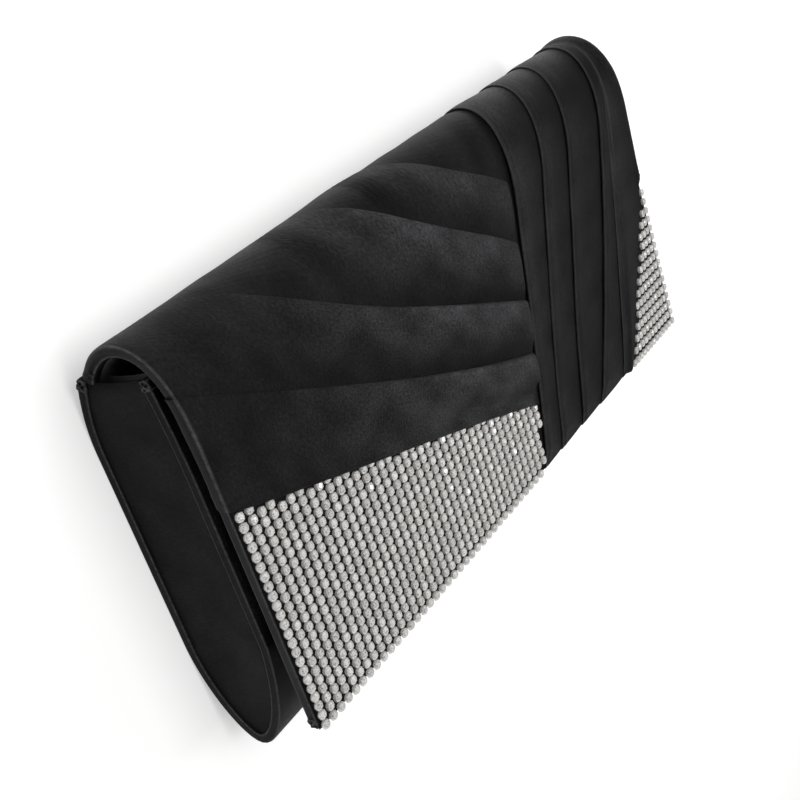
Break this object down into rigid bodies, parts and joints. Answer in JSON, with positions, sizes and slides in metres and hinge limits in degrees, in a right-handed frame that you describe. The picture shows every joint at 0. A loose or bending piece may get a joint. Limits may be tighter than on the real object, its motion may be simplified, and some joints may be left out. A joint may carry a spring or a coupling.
{
  "type": "evening bag",
  "caption": "Slim satin clutch with rounded bottom, arched fold, and a flap with fanned tucks, a pleated diagonal band and two fields of round crystals.",
  "frame": {"origin": "middle of the closed bag's footprint as it lies on its back, on the table", "axes": "+X along the length, left to right seen from the front, +Y towards the fold over the mouth, +Z out of the flap's face"},
  "size_m": [0.25, 0.13, 0.0446],
  "materials": {
    "satin": "black polyester satin, soft sheen",
    "lining": "matt black woven lining",
    "board": "grey-brown stiffening card",
    "foam": "thin off-white foam sheet",
    "net": "fine black net",
    "crystal": "clear cut crystals in bright silver cups",
    "snap_metal": "bright nickel plate",
    "magnet": "dark sintered magnet"
  },
  "bodies": {
    "body": {"body_cover": "satin", "back_board": "board", "keel_stay": "board", "front_board": "board", "gusset_left": "satin", "gusset_right": "satin", "lining_pouch": "lining", "slip_pocket": "lining", "socket_shell": "snap_metal", "socket_magnet": "magnet", "socket_prongs": "snap_metal", "socket_washer": "snap_metal"},
    "spine": {"spine_cover": "satin", "spine_foam": "foam", "spine_lining": "lining"},
    "flap": {"flap_board": "board", "flap_foam": "foam", "flap_cover": "satin", "flap_lining": "lining", "pleated_panel": "satin", "pleated_band": "satin", "crystal_net_left": "net", "crystal_net_right": "net", "crystals_left": "crystal", "crystals_right": "crystal", "stud": "snap_metal", "stud_washer": "snap_metal"}
  },
  "joints": [
    {"name": "spine_hinge", "type": "hinge", "parent": "body", "child": "spine", "pos_m": [0, 0.056, 0.0059], "axis": [-1, 0, 0], "range_deg": [0, 75]},
    {"name": "flap_hinge", "type": "hinge", "parent": "spine", "child": "flap", "pos_m": [0, 0.05868, 0.03638], "axis": [-1, 0, 0], "range_deg": [0, 105]}
  ]
}
